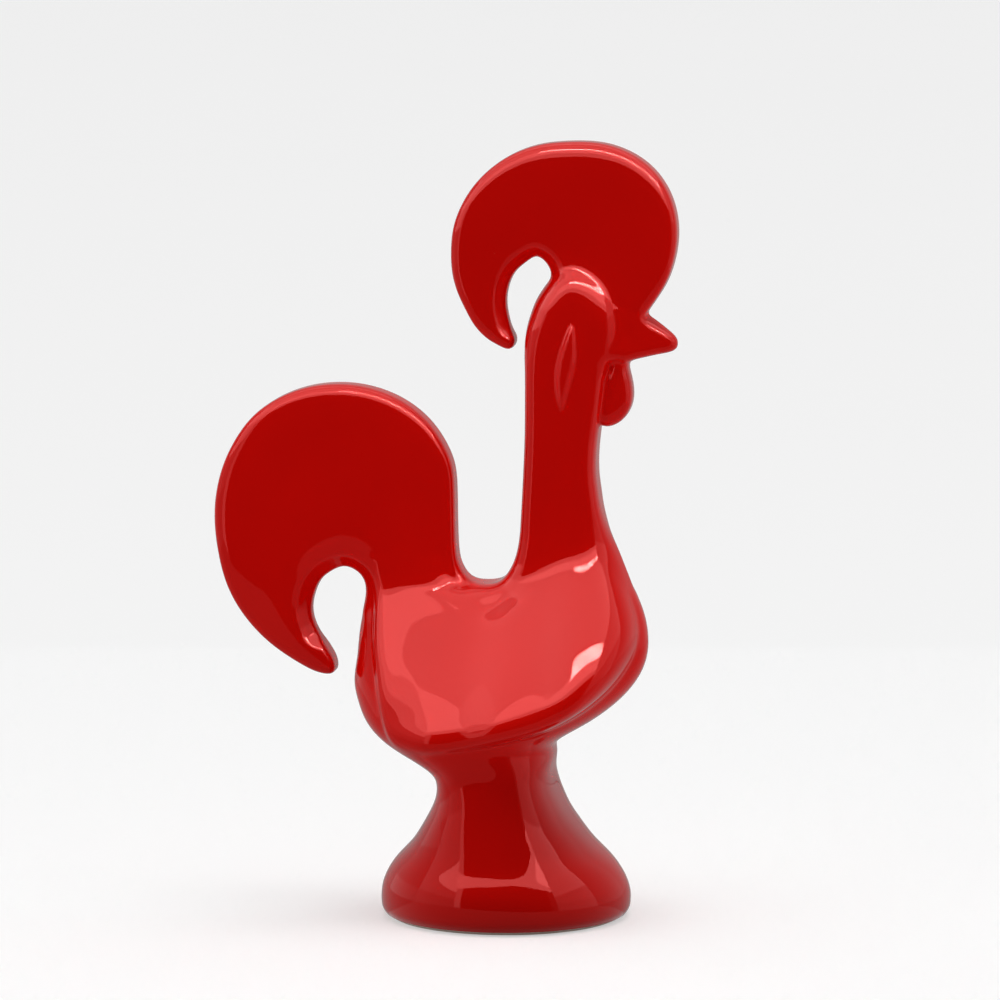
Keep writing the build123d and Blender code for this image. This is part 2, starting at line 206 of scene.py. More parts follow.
def closed_outline(line, root):
    d = smooth_line(line, False)
    r = [d[-1]] + [np.array(q, float) for q in root] + [d[0]]
    extra = []
    for a, b in zip(r[:-1], r[1:]):
        n = max(2, int(np.hypot(*(b - a)) / 0.5))
        extra.append(a + (b - a) * np.linspace(0, 1, n + 1)[1:, None])
    return np.vstack([d] + extra)[:-1]


def signed_table(poly, x0, x1, z0, z1, step):
    """Signed distance to a closed outline of dense points, below zero inside, on a regular table.
    Every eighth point finds the nearest stretch, and the points of that stretch give the distance."""
    xs = np.arange(x0, x1 + step / 2, step)
    zs = np.arange(z0, z1 + step / 2, step)
    n = len(poly)
    every = 8
    rough = poly[::every]
    area = np.sum(poly[:, 0] * np.roll(poly[:, 1], -1) - np.roll(poly[:, 0], -1) * poly[:, 1])
    D = np.empty((len(xs), len(zs)))
    ra, rb = rough, np.roll(rough, -1, 0)
    win = np.arange(-every - 3, every + 4)
    for i, x in enumerate(xs):
        px = x - rough[:, 0][None]
        pz = zs[:, None] - rough[:, 1][None]
        c = (px * px + pz * pz).argmin(1) * every
        k = (c[:, None] + win[None]) % n
        a, b = poly[k], poly[(k + 1) % n]
        ab = b - a
        L = np.maximum((ab**2).sum(-1), 1e-12)
        qx, qz = x - a[..., 0], zs[:, None] - a[..., 1]
        t = np.clip((qx * ab[..., 0] + qz * ab[..., 1]) / L, 0, 1)
        dx, dz = qx - t * ab[..., 0], qz - t * ab[..., 1]
        dd = dx * dx + dz * dz
        j = dd.argmin(1)
        rows = np.arange(len(zs))
        d = np.sqrt(dd[rows, j])
        side = ab[rows, j, 0] * dz[rows, j] - ab[rows, j, 1] * dx[rows, j]
        near_in = side * area > 0
        cross = (ra[:, 1][None] <= zs[:, None]) != (rb[:, 1][None] <= zs[:, None])
        slope = np.where(rb[:, 1] == ra[:, 1], 1e-12, rb[:, 1] - ra[:, 1])
        xc = ra[:, 0] + (zs[:, None] - ra[:, 1]) * (rb[:, 0] - ra[:, 0]) / slope
        far_in = (cross & (xc > x)).sum(1) % 2 == 1
        D[i] = d * np.where(np.where(d < 0.6, near_in, far_in), -1, 1)
    return Table(xs, zs, D)


def blur(A, sigma):
    """Gaussian blur of a 2-D table, sigma in cells, edges held."""
    r = int(3 * sigma + 1)
    w = np.exp(-0.5 * (np.arange(-r, r + 1) / sigma) ** 2)
    w /= w.sum()
    for axis in (0, 1):
        P = np.pad(A, [(r, r) if k == axis else (0, 0) for k in (0, 1)], mode="edge")
        A = sum(w[j] * np.take(P, np.arange(j, j + A.shape[axis]), axis=axis) for j in range(2 * r + 1))
    return A


class Table:
    """Smooth lookup in a regular 2-D table (Catmull-Rom), held at its borders."""

    def __init__(self, xs, zs, D):
        self.x0, self.z0, self.h = xs[0], zs[0], xs[1] - xs[0]
        self.nx, self.nz, self.D = len(xs), len(zs), D
        self.xs, self.zs = xs, zs

    def __call__(self, x, z):
        u = np.clip((x - self.x0) / self.h, 1, self.nx - 2.001)
        v = np.clip((z - self.z0) / self.h, 1, self.nz - 2.001)
        i, j = u.astype(int), v.astype(int)
        fu, fv = u - i, v - j

        def w(t):
            return (
                -0.5 * t + t * t - 0.5 * t**3,
                1 - 2.5 * t * t + 1.5 * t**3,
                0.5 * t + 2 * t * t - 1.5 * t**3,
                -0.5 * t * t + 0.5 * t**3,
            )

        wu, wv = w(fu), w(fv)
        out = 0.0
        for a in range(4):
            row = 0.0
            for b in range(4):
                row = row + wv[b] * self.D[i + a - 1, j + b - 1]
            out = out + wu[a] * row
        return out

    def like(self, D):
        return Table(self.xs, self.zs, D)

    def mesh(self):
        return np.meshgrid(self.xs, self.zs, indexing="ij")


def smin(a, b, k):
    h = np.maximum(k - np.abs(a - b), 0) / k
    return np.minimum(a, b) - h**3 * k / 6


def smax(a, b, k):
    return -smin(-a, -b, k)


def step01(t):
    t = np.clip(t, 0, 1)
    return t * t * t * (t * (t * 6 - 15) + 10)


def seg_dist(x, z, pts):
    """Distance in the side view to an open line of points."""
    p = np.array(pts, float)
    best = np.full(np.broadcast(x, z).shape, 1e9)
    for a, b in zip(p[:-1], p[1:]):
        ab = b - a
        t = np.clip(((x - a[0]) * ab[0] + (z - a[1]) * ab[1]) / (ab @ ab), 0, 1)
        best = np.minimum(best, np.hypot(x - a[0] - t * ab[0], z - a[1] - t * ab[1]))
    return best


# ---------------------------------------------------------------- wing face
def wing_grid():
    """Half width over the grid, from slopes down the side: nearly upright at the top where the face leaves the
    tail and neck, leaning out through the middle, upright again above the lip."""
    top_w = {-38.0: 6.2, -28.0: 6.3, -18.0: 6.3, -8.0: 6.4, 2.0: 7.2, 12.0: 8.1, 21.0: 8.0, 29.0: 5.2, 37.0: 1.0}
    # height where the slope starts growing, and height of the lip
    top_z = {-38.0: 95.0, -28.0: 95.0, -18.0: 95.0, -8.0: 94.5, 2.0: 96.5, 12.0: 100.0, 21.0: 102.5, 29.0: 103.5, 37.0: 102.0}
    lip_z = {-38.0: 48.0, -28.0: 49.0, -18.0: 45.8, -8.0: 46.8, 2.0: 48.8, 12.0: 52.0, 21.0: 56.4, 29.0: 62.8, 37.0: 72.0}
    most = {-38.0: 0.57, -28.0: 0.59, -18.0: 0.60, -8.0: 0.60, 2.0: 0.60, 12.0: 0.60, 21.0: 0.62, 29.0: 0.62, 37.0: 0.60}
    cols = []
    for x in WX:
        zt, zl, s = top_z[x], lip_z[x], most[x]
        prof_z = [zl - 12, zl, zl + 2.6, zl + 7, zl + 12, zl + 20, zt - 16, zt - 12, zt - 8, zt - 4, zt, zt + 12]
        prof_s = [0.04, 0.12, 0.27, 0.44, 0.53, s, s, 0.92 * s, 0.70 * s, 0.35 * s, 0.10, 0.06]
        zz = np.linspace(116, 36, 1601)
        sl = np.interp(zz, prof_z, prof_s)
        ker = np.ones(41) / 41
        sl = np.convolve(np.pad(sl, 20, mode="edge"), ker, "valid")
        w = np.r_[0, np.cumsum((sl[1:] + sl[:-1]) / 2 * 0.05)]
        w += top_w[x] - np.interp(zt, zz[::-1], w[::-1])
        # the shields draw together toward the rear, less so higher up
        w -= np.interp(x, [-38.0, -28.0, -18.0, -8.0, 2.0, 12.0, 21.0], [7.8, 5.7, 3.3, 0.8, -0.7, 0.5, 0.0]) * np.clip((96.0 - zz) / 42.0, 0.0, 1.0)
        cols.append(np.interp(WZ, zz[::-1], w[::-1]))
    return np.array(cols)          # x by z


class Wing:
    def __init__(self):
        self.g = wing_grid()
        xs = np.arange(-44.0, 44.01, 0.5)
        zs = np.arange(36.0, 116.01, 0.5)
        mz = spline_coefs(WZ, self.g.T)
        rows = np.stack([spline_eval(np.array(WZ), self.g[i], mz[:, i], zs) for i in range(len(WX))])
        mx = spline_coefs(WX, rows)
        D = np.stack([spline_eval(np.array(WX), rows[:, j], mx[:, j], xs) for j in range(len(zs))], -1)
        self.t = Table(xs, zs, D)
        gx, gz = np.gradient(D, 0.5)
        self.n = self.t.like(np.sqrt(1 + gx**2 + gz**2))


# ---------------------------------------------------------------- the whole bird
class Bird:
    def __init__(self):
        st = 0.4
        self.spine = signed_table(closed_outline(SPINE, SPINE_ROOT), -80, 40, 60, 174, st)
        self.comb = signed_table(closed_outline(COMB_LINE, COMB_ROOT), -18, 48, 144, 205, st)
        self.wattle = signed_table(smooth_line(WATTLE_LINE, True)[:-1], 19, 37, 124, 153, st)
        self.edge = signed_table(closed_outline(WING_LINE, WING_TOP[1:]), -40, 42, 40, 114, st)
        self.lobe = signed_table(smooth_line(LOBE_LINE, True)[:-1], 9, 24, 128, 160, 0.25)
        for t in (self.spine, self.comb, self.wattle, self.edge, self.lobe):
            t.D = blur(t.D, 0.8)
        self.comb.D = self.comb.D - 0.08
        self.wing = Wing()
        self.foot_y = Curve1([40, 47.4, 50, 54, 61, 66, 70, 74, 80, 85, 92, 98, 110], [22, 21, 18.5, 15.5, 12.3, 9.4, 8.2, 6.5, 5.0, 4.0, 3.4, 4.6, 6.0])
        self.col = [Curve1([r[0] for r in COLUMN], [r[k] for r in COLUMN]) for k in (1, 2, 3, 4)]

        # spine plate: half width, rim roundness and how far the mid-plane is rounded over
        X, Z = self.spine.mesh()
        D = self.spine.D
        tail = step01((-1.0 - X) / 12.0)
        self.spine.D = self.spine.D - 0.17 * step01((X * -1 - 14.0) / 8.0) - 0.3 * step01((-12.5 - X) / 1.5) * step01((X + 40.0) / 20.0)
        headw = step01((Z - 138.0) / 22.0) * (1 - tail)
        neck_b = Curve1([80, 92, 96, 104, 119, 129, 139, 148, 156, 162, 170], [9.6, 9.0, 8.7, 8.5, 8.2, 8.2, 8.3, 8.7, 9.0, 8.7, 8.4])(Z)
        crown = 0.75 * (1 - np.exp(np.minimum(D, 0) / 4.5)) + 0.75 * (1 - np.exp(np.minimum(D, 0) / 14.0))
        tail_b = 5.0 + crown
        notch = [(-37.5, 84.0), (-38.5, 88.3), (-42.6, 90.6), (-46.5, 88.9), (-50.6, 83.6), (-51.6, 79.6), (-50.2, 74.0)]
        near = np.exp(-(np.maximum(seg_dist(X, Z, notch) - 2.0, 0) / 5.0) ** 2)
        chest = step01((112.0 - Z) / 22.0)
        neck_b = neck_b - 0.22 * chest * np.maximum(X - 20.0, 0)
        K = tail * 3.8 + (1 - tail) * (7.0 + 4.5 * headw + 6.0 * chest * step01((X - 10.0) / 8.0))
        B = tail * tail_b + (1 - tail) * neck_b
        K = blur(K, 5)
        B = blur(B, 3)
        S = 0.4 + 3.2 * headw
        self.sB, self.sK, self.sS = self.spine.like(B), self.spine.like(K), self.spine.like(blur(S, 3))
        self.sC = self.spine.like(blur(near * tail, 4))
        X, Z = self.comb.mesh()
        D = self.comb.D
        notch = [(11.5, 169.0), (8.0, 171.6), (3.2, 169.0), (0.4, 164.2), (-0.3, 159.7), (0.4, 155.0)]
        near = np.exp(-(np.maximum(seg_dist(X, Z, notch) - 2.0, 0) / 4.5) ** 2)
        self.cB = self.comb.like(blur(4.75 + 0.75 * (1 - np.exp(np.minimum(D, 0) / 4.5)) + 0.75 * (1 - np.exp(np.minimum(D, 0) / 14.0)), 3))
        self.cC = self.comb.like(blur(near, 4))
        self.cK = self.comb.like(np.full_like(D, 3.8))
        D = self.wattle.D
        self.wB = self.wattle.like(blur(4.6 + 0.95 * (1 - np.exp(np.minimum(D, 0) / 3.0)), 2))
        # beak
        bx = [24.0, 28.0, 31.1, 35.5, 39.5, 42.0, 44.2, 47.0]
        self.b_top = Curve1(bx, [160.6, 159.6, 158.8, 157.3, 154.7, 152.7, 150.9, 148.8])
        self.b_edge = Curve1(bx, [159.6, 158.6, 157.5, 155.2, 152.9, 151.4, 150.0, 148.6])
        self.b_low = Curve1(bx, [144.6, 144.9, 145.0, 145.85, 146.75, 147.3, 148.0, 148.6])
        self.b_w = Curve1(bx, [5.6, 5.5, 5.2, 4.4, 3.4, 2.65, 1.9, 0.9])

    def plate(self, d2, b, k, s, y):
        yy = np.sqrt(y * y + s * s) - np.sqrt(b * b + s * s)
        mid = s - np.sqrt(b * b + s * s)
        h = np.maximum(k + mid, 0) / k
        return smax(d2 - h**3 * k / 6, yy, k)

    def bevel(self, v, d2, b, y, near, width, depth):
        """Cuts the rim back to a broad slope, where near is 1."""
        w, h = width, depth
        cut = (d2 * h + (y - b) * w + w * h) / math.hypot(w, h) - 6.0 * (1 - near)
        return smax(v, cut, 1.8)

    def parts(self, x, y, z):
        """Distance-like value of each member, at points or on a grid of x, y, z shapes that broadcast."""
        y = np.abs(y)
        out = {}
        # column: pedestal and hull
        xc, a, b, n = (c(z) for c in self.col)
        zz = 0.05
        xc2, a2, b2, n2 = (c(z + zz) for c in self.col)
        a, b, n = np.maximum(a, 0.5), np.maximum(b, 0.5), np.maximum(n, 1.6)
        X = np.abs(x - xc)
        p, q = (X / a) ** n, (y / b) ** n
        f = np.maximum(p + q, 1e-9) ** (1 / n)
        g = np.maximum(f, 1e-6) ** (1 - n)
        px = np.maximum(X / a, 1e-9) ** (n - 1) * g / a
        py = np.maximum(y / b, 1e-9) ** (n - 1) * g / b
        pz = -(p * g / a) * (a2 - a) / zz - (q * g / b) * (b2 - b) / zz - np.sign(x - xc) * px * (xc2 - xc) / zz
        col = (f - 1) / np.sqrt(px**2 + py**2 + pz**2 + 1e-9)
        col = smax(col, z - 86.2, 3.0)
        out["column"] = col
        # spine plate: tail, saddle, neck and head in one outline
        d2, b_, k_, s_ = self.spine(x, z), self.sB(x, z), self.sK(x, z), self.sS(x, z)
        lob = self.lobe(x, z)
        rise = 1.25 * step01((0.35 - lob) / 2.3) * step01((y - 3.0) / 3.0)
        spine = self.plate(d2, b_, k_, s_, y) - rise
        out["spine"] = self.bevel(spine, d2, b_, y, self.sC(x, z), 5.6, 2.6)
        # wings
        tent = (y - self.wing.t(x, z)) / self.wing.n(x, z)
        # the lip's wall leans: it narrows outward from where it meets the hull
        e = (self.edge(x, z) + 0.12 * (y - self.foot_y(z))) / 1.007
        lowfront = step01((x + 32.0) / 10.0)
        out["wing"] = smax(tent, e, 4.2 + 3.2 * lowfront)
        # comb, wattle
        d2, b_ = self.comb(x, z), self.cB(x, z)
        out["comb"] = self.bevel(self.plate(d2, b_, self.cK(x, z), 0.4, y), d2, b_, y, self.cC(x, z), 4.4, 2.4)
        out["wattle"] = self.plate(self.wattle(x, z), self.wB(x, z), 4.4, 0.6, y)
        # beak
        xx = np.clip(x, 22.0, 50.0)
        t, r, l, w = self.b_top(xx), self.b_edge(xx), self.b_low(xx), self.b_w(xx)
        w = np.maximum(w, 0.6)
        m = np.maximum(t - r, 0.3) / w
        ys = np.sqrt(y * y + 1.0) - 0.3
        side = (y - w - 0.10 * (r - z)) / 1.06
        roof = (z - t + m * (ys - 0.7)) / np.sqrt(1 + m * m)
        under = (l - z + 0.10 * ys) / 1.02
        beak = smax(smax(side, roof, 1.6), under, 3.6)
        beak = smax(beak, x - 44.2, 2.8)
        beak = np.maximum(beak, 22.0 - x)
        out["beak"] = beak
        return out

    def value(self, x, y, z, parts=None):
        p = parts or self.parts(x, y, z)
        v = smin(p["column"], p["wing"], 1.3)
        rear = step01((x + 34.0) / 3.0)
        v = smin(v, p["spine"], 3.0 - 0.5 * rear + 1.0 * np.exp(-((x + 3.0) / 9.0) ** 2) * step01((z - 72.0) / 8.0))
        v = smin(v, p["comb"], 3.0)
        v = smin(v, p["beak"], 2.2)
        v = smin(v, p["wattle"], 1.8 + 2.6 * step01((x - 28.5) / 3.0))
        return v


# ---------------------------------------------------------------- surface
def grid_values(bird, lo, hi, h):
    """Values on a full grid, worked out for y >= 0 only and mirrored."""
    xs = np.arange(lo[0], hi[0] + h, h)
    ny = int(math.ceil(hi[1] / h)) + 1
    ys = (np.arange(ny) + 0.5) * h
    zs = np.arange(lo[2], hi[2] + h, h)
    V = np.empty((len(xs), ny, len(zs)), np.float32)
    for j, y in enumerate(ys):
        V[:, j, :] = bird.value(xs[:, None], y, zs[None, :])
    V = np.concatenate([V[:, ::-1, :], V], 1)
    ys = np.r_[-ys[::-1], ys]
    return xs, ys, zs, V


def surface_nets(xs, ys, zs, V):
    h = xs[1] - xs[0]
    S = V < 0
    nx, ny, nz = V.shape
    c = S[:-1, :-1, :-1].astype(np.int8)
    total = np.zeros_like(c)
    for i in (0, 1):
        for j in (0, 1):
            for k in (0, 1):
                total += S[i:nx - 1 + i, j:ny - 1 + j, k:nz - 1 + k]
    act = (total > 0) & (total < 8)
    idx = -np.ones(act.shape, np.int64)
    cells = np.argwhere(act)
    idx[act] = np.arange(len(cells))
    acc = np.zeros((len(cells), 3))
    cnt = np.zeros(len(cells))
    I, J, K = cells.T
    for axis in range(3):
        o = [d for d in range(3) if d != axis]
        for a in (0, 1):
            for b in (0, 1):
                p = [I.copy(), J.copy(), K.copy()]
                p[o[0]] += a
                p[o[1]] += b
                q = [v.copy() for v in p]
                q[axis] += 1
                va, vb = V[tuple(p)], V[tuple(q)]
                m = (va < 0) != (vb < 0)
                t = np.where(m, va / np.where(m, va - vb, 1), 0)
                P = np.zeros((len(cells), 3))
                P[:, axis] = t
                P[:, o[0]] = a
                P[:, o[1]] = b
                acc += P * m[:, None]
                cnt += m
    verts = np.stack([xs[I], ys[J], zs[K]], -1) + acc / cnt[:, None] * h
    quads = []
    for axis in range(3):
        A = np.take(S, range(V.shape[axis] - 1), axis)
        B = np.take(S, range(1, V.shape[axis]), axis)
        e = np.argwhere(A != B)
        o = [d for d in range(3) if d != axis]
        ok = (e[:, o[0]] > 0) & (e[:, o[1]] > 0) & (e[:, o[0]] < V.shape[o[0]] - 1) & (e[:, o[1]] < V.shape[o[1]] - 1)
        e = e[ok]
        inside = A[tuple(e.T)]
        q = []
        for a, b in ((-1, -1), (0, -1), (0, 0), (-1, 0)):
            f = e.copy()
            f[:, o[0]] += a
            f[:, o[1]] += b
            q.append(idx[tuple(f.T)])
        q = np.stack(q, -1)
        flip = inside if axis != 1 else ~inside
        q = np.where(flip[:, None], q, q[:, ::-1])
        quads.append(q)
    return verts, np.vstack(quads)


def gradient(bird, P, h=0.12):
    g = np.empty_like(P)
    for k in range(3):
        a, b = P.copy(), P.copy()
        a[:, k] += h
        b[:, k] -= h
        g[:, k] = (bird.value(*a.T) - bird.value(*b.T)) / (2 * h)
    return g


def project(bird, P, steps=3):
    for _ in range(steps):
        v = bird.value(*P.T)
        g = gradient(bird, P)
        n2 = np.maximum((g**2).sum(1), 0.05)
        d = (v / n2)[:, None] * g
        L = np.linalg.norm(d, axis=1, keepdims=True)
        P = P - d * np.minimum(1, 0.5 / np.maximum(L, 1e-9))
    return P



# ---------------------------------------------------------------- cutting the skin into the members' pieces
NAMES = ["pedestal", "body_shell", "left_wing", "right_wing", "neck", "head", "left_ear_lobe", "right_ear_lobe",
         "beak", "wattle", "comb", "tail"]
N = {n: i for i, n in enumerate(NAMES)}
KIND = {"column": 0, "wing": 1, "spine": 2, "comb": 3, "beak": 4, "wattle": 5}


def label_of(bird, P):
    """The member that each point of the skin belongs to."""
    x, y, z = P.T
    p = bird.parts(x, y, z)
    stack = np.stack([p[k] for k in ("column", "wing", "spine", "comb", "beak", "wattle")])
    k = stack.argmin(0)
    lab = np.empty(len(P), int)
    lab[k == 0] = np.where(z < 35.0, N["pedestal"], N["body_shell"])[k == 0]
    lab[k == 1] = np.where(y > 0, N["left_wing"], N["right_wing"])[k == 1]
    sp = np.where(x < -4.9, N["tail"], np.where(z < 148.0, N["neck"], N["head"]))
    lobe = (bird.lobe(x, z) < 0) & (np.abs(y) > 3.0)
    sp = np.where(lobe, np.where(y > 0, N["left_ear_lobe"], N["right_ear_lobe"]), sp)
    lab[k == 2] = sp[k == 2]
    lab[k == 3] = N["comb"]
    lab[k == 4] = N["beak"]
    lab[k == 5] = N["wattle"]
    return lab


def kind_of(lab):
    t = np.array([0, 0, 1, 1, 2, 2, 2, 2, 4, 5, 3, 2])
    return t[lab]


def seam_value(bird, P, la, lb):
    """Below zero on la's side of the seam between two members, above zero on lb's."""
    x, y, z = P.T
    p = bird.parts(x, y, z)
    stack = np.stack([p[k] for k in ("column", "wing", "spine", "comb", "beak", "wattle")])
    ka, kb = kind_of(la), kind_of(lb)
    r = np.arange(len(P))
    g = stack[ka, r] - stack[kb, r]
    same = ka == kb
    def has(a, b):
        return same & (((la == N[a]) & (lb == N[b])) | ((la == N[b]) & (lb == N[a])))
    s = np.where(la < lb, 1.0, -1.0)
    g = np.where(has("pedestal", "body_shell"), (z - 35.0) * s, g)
    g = np.where(has("neck", "head"), (z - 148.0) * s, g)
    g = np.where(has("left_wing", "right_wing"), y * -s, g)
    g = np.where(has("neck", "tail"), (-4.9 - x) * s, g)
    lobes = (la == N["left_ear_lobe"]) | (la == N["right_ear_lobe"]), (lb == N["left_ear_lobe"]) | (lb == N["right_ear_lobe"])
    d = bird.lobe(x, z)
    g = np.where(same & lobes[0] & ~lobes[1], d, g)
    g = np.where(same & lobes[1] & ~lobes[0], -d, g)
    return g


def snap_seams(bird, P, edges, lab, h, steps=3):
    """Moves the nearer end of every edge that crosses a seam onto the seam. Returns points and a mask."""
    i, j = edges.T
    m = lab[i] != lab[j]
    i, j = i[m], j[m]
    la, lb = lab[i], lab[j]
    gi = seam_value(bird, P[i], la, lb)
    gj = seam_value(bird, P[j], la, lb)
    ok = (gi < 0) & (gj > 0)
    t = np.where(ok, gi / np.where(ok, gi - gj, 1), 0.5)
    X = P[i] + (P[j] - P[i]) * t[:, None]
    who = np.where(t < 0.5, i, j)
    oth = np.where(t < 0.5, lb, la)
    own = np.where(t < 0.5, la, lb)
    acc = np.zeros_like(P)
    cnt = np.zeros(len(P))
    np.add.at(acc, who, X)
    np.add.at(cnt, who, 1)
    s = np.where(cnt > 0)[0]
    Q = P[s]
    Q = acc[s] / cnt[s][:, None]
    A = np.zeros(len(P), int)
    B = np.zeros(len(P), int)
    A[who] = own
    B[who] = oth
    A, B = A[s], B[s]
    start = P[s].copy()
    for _ in range(steps):
        f = bird.value(*Q.T)
        gf = gradient(bird, Q)
        g = seam_value(bird, Q, A, B)
        gg = np.empty_like(Q)
        for k in range(3):
            a, b = Q.copy(), Q.copy()
            a[:, k] += 0.1
            b[:, k] -= 0.1
            gg[:, k] = (seam_value(bird, a, A, B) - seam_value(bird, b, A, B)) / 0.2
        a11 = (gf * gf).sum(1)
        a12 = (gf * gg).sum(1)
        a22 = (gg * gg).sum(1)
        det = a11 * a22 - a12**2
        bad = det < 0.02 * a11 * a22
        det = np.where(bad, 1, det)
        u = np.where(bad, f / np.maximum(a11, 1e-6), (f * a22 - g * a12) / det)
        v = np.where(bad, 0, (g * a11 - f * a12) / det)
        d = u[:, None] * gf + v[:, None] * gg
        L = np.linalg.norm(d, axis=1, keepdims=True)
        Q = Q - d * np.minimum(1, 0.5 * h / np.maximum(L, 1e-9))
    far = np.linalg.norm(Q - start, axis=1) > 1.1 * h
    Q[far] = start[far]
    P = P.copy()
    P[s] = Q
    on = np.zeros(len(P), bool)
    on[s[~far]] = True
    return P, on


def quads_edges(Q):
    e = np.vstack([Q[:, [0, 1]], Q[:, [1, 2]], Q[:, [2, 3]], Q[:, [3, 0]]])
    e.sort(1)
    return np.unique(e, axis=0)


def split_quads(P, Q, on):
    """Two triangles per quad, along the diagonal that joins two seam points, or else the shorter one."""
    d02 = np.linalg.norm(P[Q[:, 0]] - P[Q[:, 2]], axis=1)
    d13 = np.linalg.norm(P[Q[:, 1]] - P[Q[:, 3]], axis=1)
    s02 = on[Q[:, 0]] & on[Q[:, 2]]
    s13 = on[Q[:, 1]] & on[Q[:, 3]]
    use = np.where(s02 != s13, s02, d02 <= d13)
    a = np.where(use[:, None], Q[:, [0, 1, 2]], Q[:, [0, 1, 3]])
    b = np.where(use[:, None], Q[:, [0, 2, 3]], Q[:, [1, 2, 3]])
    return np.vstack([a, b])


def face_labels(bird, P, T, lab, on):
    c = P[T].mean(1)
    out = label_of(bird, c)
    L = np.where(on[T], -1, lab[T])
    mx = L.max(1)
    mn = np.where(L < 0, 99, L).min(1)
    sure = (mx >= 0) & (mx == mn)
    out[sure] = mx[sure]
    return out


def islands(T, fl, n):
    """Small stray patches of faces take their neighbours' label."""
    for _ in range(3):
        e = np.vstack([T[:, [0, 1]], T[:, [1, 2]], T[:, [2, 0]]])
        f = np.tile(np.arange(len(T)), 3)
        e = np.sort(e, 1)
        o = np.lexsort((e[:, 1], e[:, 0]))
        e, f = e[o], f[o]
        same = (e[1:] == e[:-1]).all(1)
        a, b = f[:-1][same], f[1:][same]
        par = np.arange(len(T))
        link = fl[a] == fl[b]
        ia, ib = a[link], b[link]
        while True:
            lo = np.minimum(par[ia], par[ib])
            new = par.copy()
            np.minimum.at(new, par[ia], lo)
            np.minimum.at(new, par[ib], lo)
            new = new[new]
            new = new[new]
            if (new == par).all():
                break
            par = new
        root, inv, cnt = np.unique(par, return_inverse=True, return_counts=True)
        small = cnt[inv] < 60
        if not small.any():
            break
        cross = fl[a] != fl[b]
        ca, cb = a[cross], b[cross]
        for s_, o_ in ((ca, cb), (cb, ca)):
            m = small[s_] & ~small[o_]
            fl[s_[m]] = fl[o_[m]]
    return fl


def boundary(T):
    e = np.vstack([T[:, [0, 1]], T[:, [1, 2]], T[:, [2, 0]]])
    key = e[:, 0].astype(np.int64) * 10_000_000 + e[:, 1]
    rev = e[:, 1].astype(np.int64) * 10_000_000 + e[:, 0]
    return e[~np.isin(key, rev)]


def loops(edges):
    """Boundary edges grouped into chains that share points."""
    nxt = {}
    for a, b in edges:
        nxt.setdefault(int(a), []).append(int(b))
    out = []
    left = {(int(a), int(b)) for a, b in edges}
    while left:
        a, b = min(left)
        chain = [(a, b)]
        left.discard((a, b))
        while True:
            cand = [c for c in nxt.get(b, []) if (b, c) in left]
            if not cand:
                break
            chain.append((b, cand[0]))
            left.discard((b, cand[0]))
            b = cand[0]
            if b == a:
                break
        out.append(chain)
    return out


CENTRES = {
    "pedestal": [(-2.4, 0.0, 35.0)],
    "body_shell": [(-2.4, 0.0, 35.0), (-2.0, 0.0, 64.0)],
    "left_wing": [(0.0, 7.0, 68.0)], "right_wing": [(0.0, -7.0, 68.0)],
    "neck": [(12.0, 0.0, 84.0), (15.5, 0.0, 144.0)],
    "head": [(16.5, 0.0, 154.0)],
    "left_ear_lobe": [(16.2, 5.5, 145.0)], "right_ear_lobe": [(16.2, -5.5, 145.0)],
    "beak": [(26.0, 0.0, 152.5)],
    "wattle": [(26.5, 0.0, 142.0)],
    "comb": [(18.5, 0.0, 158.0)],
    "tail": [(-24.0, 0.0, 80.0)],
}


def close_piece(name, P, T, used_normals):
    """The piece's own faces plus the faces that close it inside its neighbours."""
    bd = boundary(T)
    extraP, extraT = [], []
    n0 = len(P)
    for chain in loops(bd):
        pts = np.array([P[a] for a, _ in chain])
        if name == "pedestal" and pts[:, 2].mean() < 5:
            # bottom: flat ring inward to the bore, up its wall, and closed under the floor
            k = len(chain)
            ang = [math.atan2(P[a][1], P[a][0] + 0.4) for a, _ in chain]
            base = n0 + len(extraP)
            for z_, r_ in ((1.0, 28.0), (1.0, 26.02), (3.0, 26.02)):
                for t in ang:
                    extraP.append((-0.4 + r_ * math.cos(t), r_ * math.sin(t), z_))
            extraP.append((-0.4, 0.0, 3.0))
            rows = [[a for a, _ in chain]] + [[base + q * k + i for i in range(k)] for q in range(3)]
            for q in range(3):
                for i in range(k):
                    a, b = rows[q][i], rows[q][(i + 1) % k]
                    c, d = rows[q + 1][(i + 1) % k], rows[q + 1][i]
                    extraT += [(b, a, d), (b, d, c)]
            top = base + 3 * k
            for i in range(k):
                extraT.append((rows[3][(i + 1) % k], rows[3][i], top))
            continue
        c = min(CENTRES[name], key=lambda q: np.linalg.norm(pts.mean(0) - q))
        mid = n0 + len(extraP)
        extraP.append(c)
        for a, b in chain:
            extraT.append((b, a, mid))
    if extraP:
        P = np.vstack([P, np.array(extraP)])
        T = np.vstack([T, np.array(extraT, int)])
    return P, T


